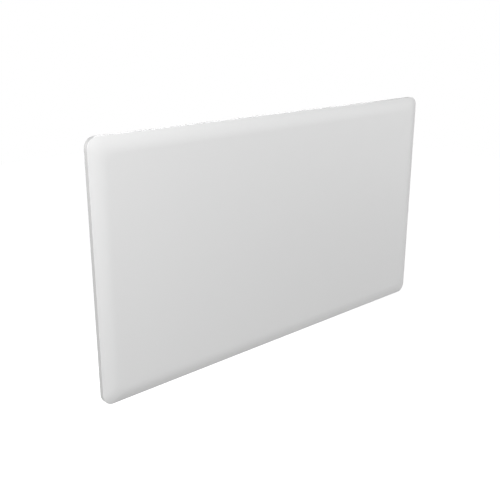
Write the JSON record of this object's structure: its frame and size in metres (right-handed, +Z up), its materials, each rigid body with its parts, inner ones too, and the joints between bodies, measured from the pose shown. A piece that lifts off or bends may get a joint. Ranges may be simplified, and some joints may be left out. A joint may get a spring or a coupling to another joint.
{
  "type": "panel convector heater",
  "caption": "Slim wall-hung electric panel convector with a soft-edged steel front, a finned element in an air duct, side controls and a tilting wall bracket.",
  "frame": {"origin": "middle of the four wall screws, on the wall plane at the back of the bracket's uprights", "axes": "+X to the right as seen from the room, +Y into the wall, +Z up"},
  "size_m": [0.725, 0.082, 0.4],
  "materials": {
    "white_coat": "satin powder coat",
    "pale_grey_coat": "satin powder coat",
    "galvanised_sheet": "galvanised",
    "bracket_coat": "satin powder coat",
    "fin_aluminium": "mill finish",
    "sheath_steel": "drawn tube",
    "zinc_fastener": "zinc plated",
    "bush_ceramic": "glazed",
    "box_plastic": "fine texture",
    "knob_plastic": "fine texture",
    "switch_plastic": "gloss",
    "inner_plastic": "moulded",
    "terminal_plastic": "moulded",
    "board_laminate": "solder mask",
    "lead_insulation": "silicone",
    "grommet_rubber": "matte",
    "lens": "clear red",
    "blade_brass": "tinned"
  },
  "bodies": {
    "bracket": {"left_upright": "bracket_coat", "right_upright": "bracket_coat", "upper_crossbar": "bracket_coat", "lower_crossbar": "bracket_coat", "crossbar_rivets": "zinc_fastener", "bolt_guides": "bracket_coat"},
    "left_bolt": {"left_lock_bolt": "knob_plastic"},
    "right_bolt": {"right_lock_bolt": "knob_plastic"},
    "knob": {"thermostat_knob": "knob_plastic", "selector_shaft": "zinc_fastener"},
    "rocker": {"power_rocker": "switch_plastic"},
    "button": {"setback_button": "knob_plastic"},
    "heater": {"front_cover": "white_coat", "cover_tabs": "zinc_fastener", "cover_screws": "zinc_fastener", "rim_frame": "pale_grey_coat", "duct_casing": "galvanised_sheet", "duct_front_plate": "galvanised_sheet", "duct_screws": "zinc_fastener", "outlet_grille": "white_coat", "inlet_grille": "white_coat", "element_tube": "sheath_steel", "element_pins": "zinc_fastener", "element_fins": "fin_aluminium", "left_element_hanger": "galvanised_sheet", "right_element_hanger": "galvanised_sheet", "hanger_bushes": "bush_ceramic", "cutout_bracket": "galvanised_sheet", "overheat_cutout": "inner_plastic", "casing_rivets": "zinc_fastener", "earth_stud": "blade_brass", "earth_lead": "lead_insulation", "lead_grommets": "grommet_rubber", "upper_element_lead": "lead_insulation", "lower_element_lead": "lead_insulation", "supply_leads": "lead_insulation", "control_box": "box_plastic", "control_box_lid": "box_plastic", "box_screws": "zinc_fastener", "control_board": "board_laminate", "board_screws": "zinc_fastener", "side_board": "board_laminate", "board_connector": "terminal_plastic", "relay": "inner_plastic", "transformer": "inner_plastic", "selector": "inner_plastic", "switch_housing": "switch_plastic", "switch_blades": "blade_brass", "button_switch": "inner_plastic", "indicator_lens": "lens", "cord_gland": "inner_plastic", "gland_lock_nut": "inner_plastic", "terminal_block": "terminal_plastic", "room_sensor": "inner_plastic", "sensor_holder": "box_plastic", "left_pivot_ears": "galvanised_sheet", "right_pivot_ears": "galvanised_sheet", "pivot_pins": "zinc_fastener", "tilt_stops": "grommet_rubber", "lock_catches": "galvanised_sheet"}
  },
  "joints": [
    {"name": "tilt", "type": "hinge", "parent": "bracket", "child": "heater", "pos_m": [0, -0.018, -0.15], "axis": [1, 0, 0], "range_deg": [0, 25]},
    {"name": "left_bolt_slide", "type": "slide", "parent": "bracket", "child": "left_bolt", "axis": [0, 0, 1], "range_m": [-0.012, 0]},
    {"name": "right_bolt_slide", "type": "slide", "parent": "bracket", "child": "right_bolt", "axis": [0, 0, 1], "range_m": [-0.012, 0]},
    {"name": "knob_turn", "type": "hinge", "parent": "heater", "child": "knob", "pos_m": [0.33, -0.0455, 0.112], "axis": [1, 0, 0], "range_deg": [-135, 135]},
    {"name": "rocker_press", "type": "hinge", "parent": "heater", "child": "rocker", "pos_m": [0.326, -0.0455, 0.052], "axis": [0, -1, 0], "range_deg": [0, 16]},
    {"name": "button_press", "type": "slide", "parent": "heater", "child": "button", "axis": [-1, 0, 0], "range_m": [0, 0.0012], "stiffness_N_per_m": 600, "springref_m": -0.0004}
  ]
}
